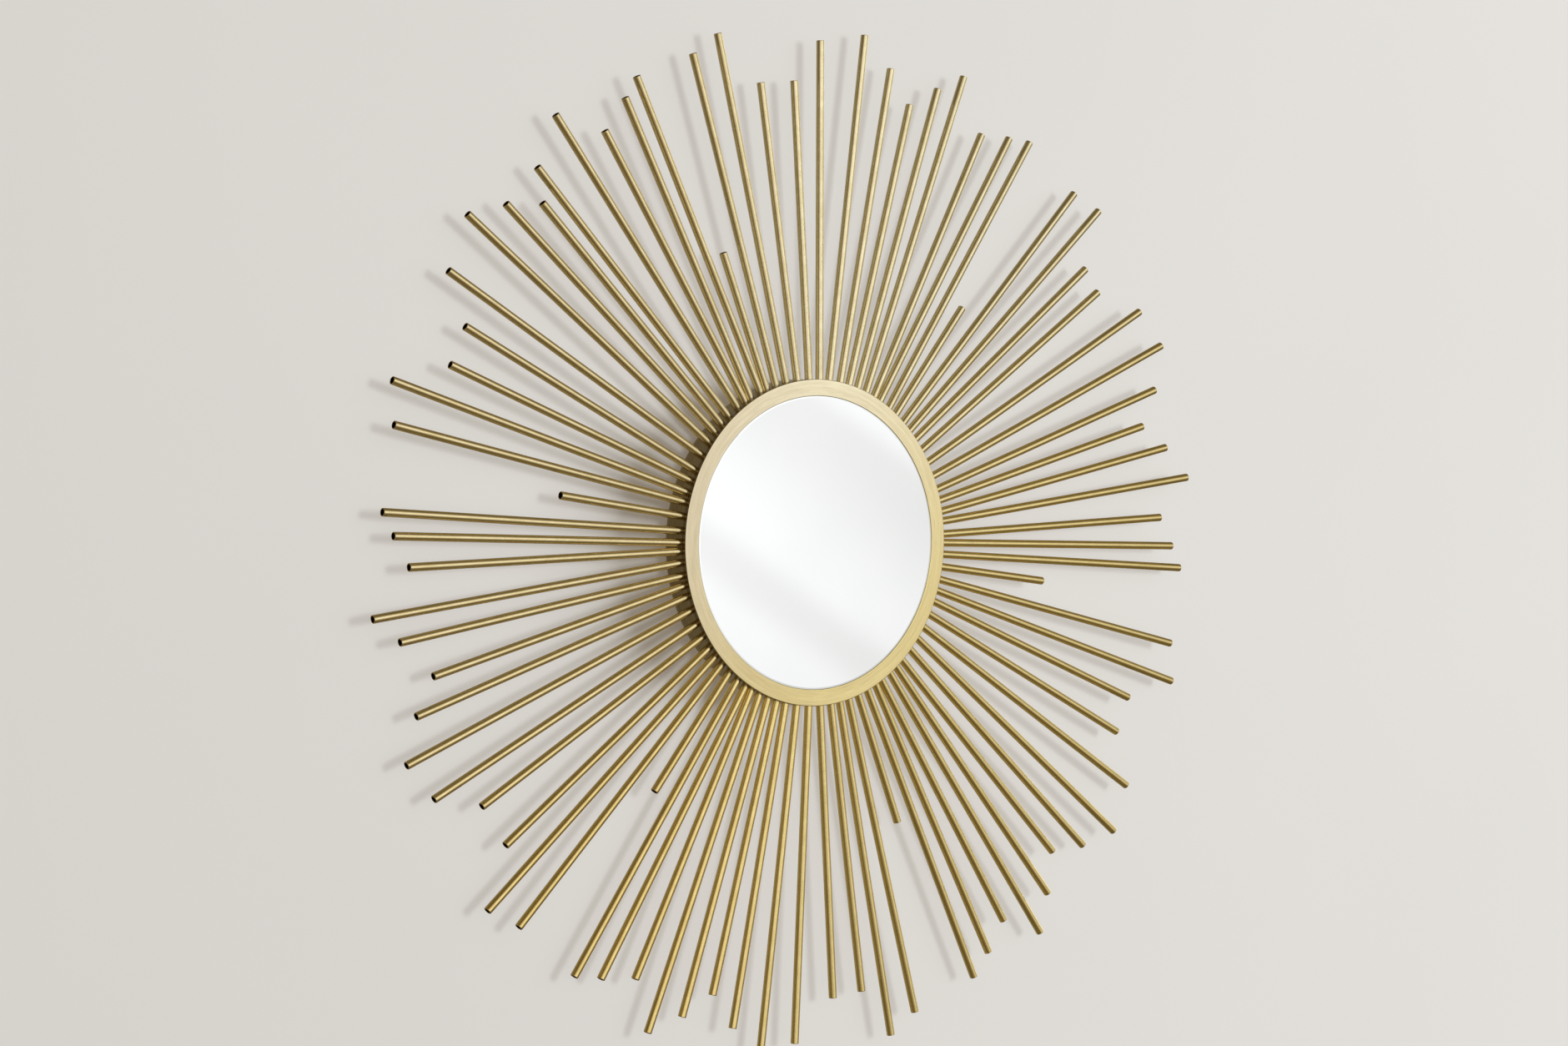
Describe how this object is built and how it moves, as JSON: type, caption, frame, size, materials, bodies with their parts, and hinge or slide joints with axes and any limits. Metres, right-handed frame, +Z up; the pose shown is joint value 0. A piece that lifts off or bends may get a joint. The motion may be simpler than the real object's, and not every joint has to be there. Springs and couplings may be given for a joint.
{
  "type": "sunburst wall mirror",
  "caption": "Round wall mirror in a flat brass ring on a shallow drum, with hollow brass tubes of several lengths standing out all round like rays.",
  "frame": {"origin": "centre of the drum's back face, on the wall", "axes": "+Y into the wall, so the mirror faces -Y; +Z up; +X to the right of somebody facing the mirror"},
  "size_m": [0.7951, 0.026, 0.7942],
  "materials": {
    "ray_brass": "satin antique brass, fine brushed",
    "ring_brass": "pale satin brass",
    "drum_brass": "dark satin brass",
    "mirror_glass": "silvered glass"
  },
  "bodies": {
    "root": {"drum": "drum_brass", "face_ring": "ring_brass", "mirror_glass": "mirror_glass", "ray_pair_01": "ray_brass", "ray_pair_02": "ray_brass", "ray_pair_03": "ray_brass", "ray_pair_04": "ray_brass", "ray_pair_05": "ray_brass", "ray_pair_06": "ray_brass", "ray_pair_07": "ray_brass", "ray_pair_08": "ray_brass", "ray_pair_09": "ray_brass", "ray_pair_10": "ray_brass", "ray_pair_11": "ray_brass", "ray_pair_12": "ray_brass", "ray_pair_13": "ray_brass", "ray_pair_14": "ray_brass", "ray_pair_15": "ray_brass", "ray_pair_16": "ray_brass", "ray_pair_17": "ray_brass", "ray_pair_18": "ray_brass", "ray_pair_19": "ray_brass", "ray_pair_20": "ray_brass", "ray_pair_21": "ray_brass", "ray_pair_22": "ray_brass", "ray_pair_23": "ray_brass", "ray_pair_24": "ray_brass", "ray_pair_25": "ray_brass", "ray_pair_26": "ray_brass", "ray_pair_27": "ray_brass", "ray_pair_28": "ray_brass", "ray_pair_29": "ray_brass", "ray_pair_30": "ray_brass", "ray_pair_31": "ray_brass", "ray_pair_32": "ray_brass", "ray_pair_33": "ray_brass", "ray_pair_34": "ray_brass", "ray_pair_35": "ray_brass", "ray_pair_36": "ray_brass", "ray_pair_37": "ray_brass", "ray_pair_38": "ray_brass", "ray_pair_39": "ray_brass", "ray_pair_40": "ray_brass", "ray_pair_41": "ray_brass", "ray_pair_42": "ray_brass"}
  },
  "joints": []
}
